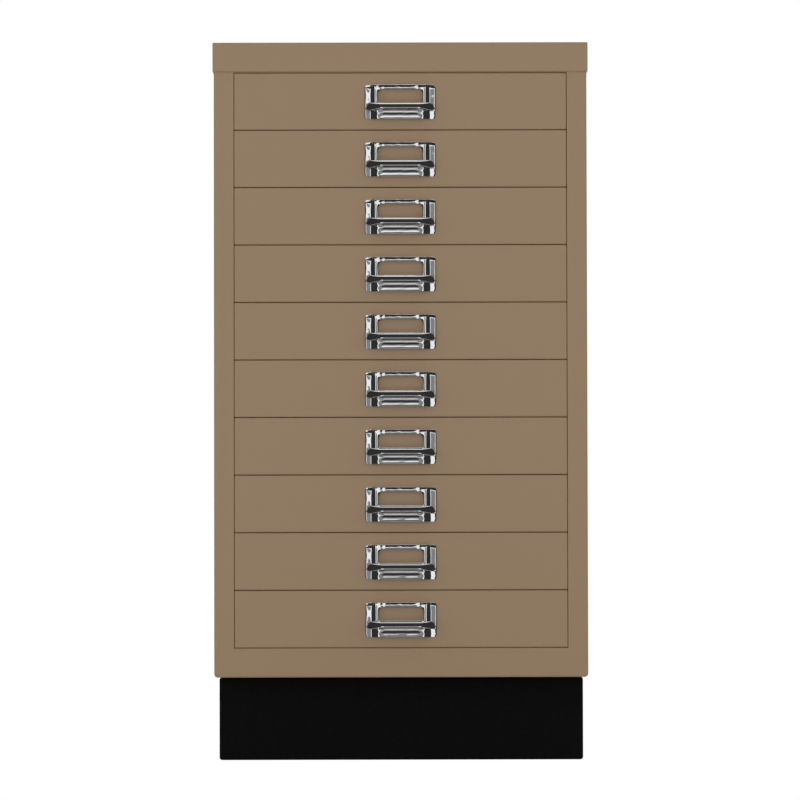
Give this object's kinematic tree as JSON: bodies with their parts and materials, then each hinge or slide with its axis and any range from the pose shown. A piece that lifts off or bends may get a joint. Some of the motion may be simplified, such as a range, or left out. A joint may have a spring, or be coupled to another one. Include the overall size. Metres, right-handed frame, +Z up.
{
  "type": "multi-drawer cabinet",
  "caption": "Upright painted steel cabinet of equal shallow drawers for large sheets, each with a chromed label pull, on a separate recessed black plinth.",
  "frame": {"origin": "on the floor, under the middle of the box that encloses the whole cabinet, pulls included", "axes": "+Z up, the drawers open towards -Y, +X to the right seen from the front"},
  "size_m": [0.349, 0.4458, 0.667],
  "materials": {
    "brown_paint": "satin powder coat",
    "black_paint": "fine textured powder coat",
    "chrome": "bright plated",
    "zinc": "zinc plated"
  },
  "bodies": {
    "carcase": {"top_lid": "brown_paint", "left_side_panel": "brown_paint", "right_side_panel": "brown_paint", "back_panel": "brown_paint", "base_panel": "brown_paint", "bottom_rail": "brown_paint", "top_rail": "brown_paint", "left_runner_panel": "brown_paint", "right_runner_panel": "brown_paint", "left_runners": "brown_paint", "right_runners": "brown_paint", "left_rear_stops": "brown_paint", "right_rear_stops": "brown_paint", "plinth": "black_paint", "plinth_bolts": "zinc", "plinth_washers": "zinc", "plinth_nuts": "zinc"},
    "drawer_01": {"drawer_01_front": "brown_paint", "drawer_01_tray": "brown_paint", "drawer_01_pull": "chrome", "drawer_01_stops": "brown_paint"},
    "drawer_02": {"drawer_02_front": "brown_paint", "drawer_02_tray": "brown_paint", "drawer_02_pull": "chrome", "drawer_02_stops": "brown_paint"},
    "drawer_03": {"drawer_03_front": "brown_paint", "drawer_03_tray": "brown_paint", "drawer_03_pull": "chrome", "drawer_03_stops": "brown_paint"},
    "drawer_04": {"drawer_04_front": "brown_paint", "drawer_04_tray": "brown_paint", "drawer_04_pull": "chrome", "drawer_04_stops": "brown_paint"},
    "drawer_05": {"drawer_05_front": "brown_paint", "drawer_05_tray": "brown_paint", "drawer_05_pull": "chrome", "drawer_05_stops": "brown_paint"},
    "drawer_06": {"drawer_06_front": "brown_paint", "drawer_06_tray": "brown_paint", "drawer_06_pull": "chrome", "drawer_06_stops": "brown_paint"},
    "drawer_07": {"drawer_07_front": "brown_paint", "drawer_07_tray": "brown_paint", "drawer_07_pull": "chrome", "drawer_07_stops": "brown_paint"},
    "drawer_08": {"drawer_08_front": "brown_paint", "drawer_08_tray": "brown_paint", "drawer_08_pull": "chrome", "drawer_08_stops": "brown_paint"},
    "drawer_09": {"drawer_09_front": "brown_paint", "drawer_09_tray": "brown_paint", "drawer_09_pull": "chrome", "drawer_09_stops": "brown_paint"},
    "drawer_10": {"drawer_10_front": "brown_paint", "drawer_10_tray": "brown_paint", "drawer_10_pull": "chrome", "drawer_10_stops": "brown_paint"}
  },
  "joints": [
    {"name": "drawer_01_slide", "type": "slide", "parent": "carcase", "child": "drawer_01", "axis": [0, -1, 0], "range_m": [0, 0.345]},
    {"name": "drawer_02_slide", "type": "slide", "parent": "carcase", "child": "drawer_02", "axis": [0, -1, 0], "range_m": [0, 0.345]},
    {"name": "drawer_03_slide", "type": "slide", "parent": "carcase", "child": "drawer_03", "axis": [0, -1, 0], "range_m": [0, 0.345]},
    {"name": "drawer_04_slide", "type": "slide", "parent": "carcase", "child": "drawer_04", "axis": [0, -1, 0], "range_m": [0, 0.345]},
    {"name": "drawer_05_slide", "type": "slide", "parent": "carcase", "child": "drawer_05", "axis": [0, -1, 0], "range_m": [0, 0.345]},
    {"name": "drawer_06_slide", "type": "slide", "parent": "carcase", "child": "drawer_06", "axis": [0, -1, 0], "range_m": [0, 0.345]},
    {"name": "drawer_07_slide", "type": "slide", "parent": "carcase", "child": "drawer_07", "axis": [0, -1, 0], "range_m": [0, 0.345]},
    {"name": "drawer_08_slide", "type": "slide", "parent": "carcase", "child": "drawer_08", "axis": [0, -1, 0], "range_m": [0, 0.345]},
    {"name": "drawer_09_slide", "type": "slide", "parent": "carcase", "child": "drawer_09", "axis": [0, -1, 0], "range_m": [0, 0.345]},
    {"name": "drawer_10_slide", "type": "slide", "parent": "carcase", "child": "drawer_10", "axis": [0, -1, 0], "range_m": [0, 0.345]}
  ]
}
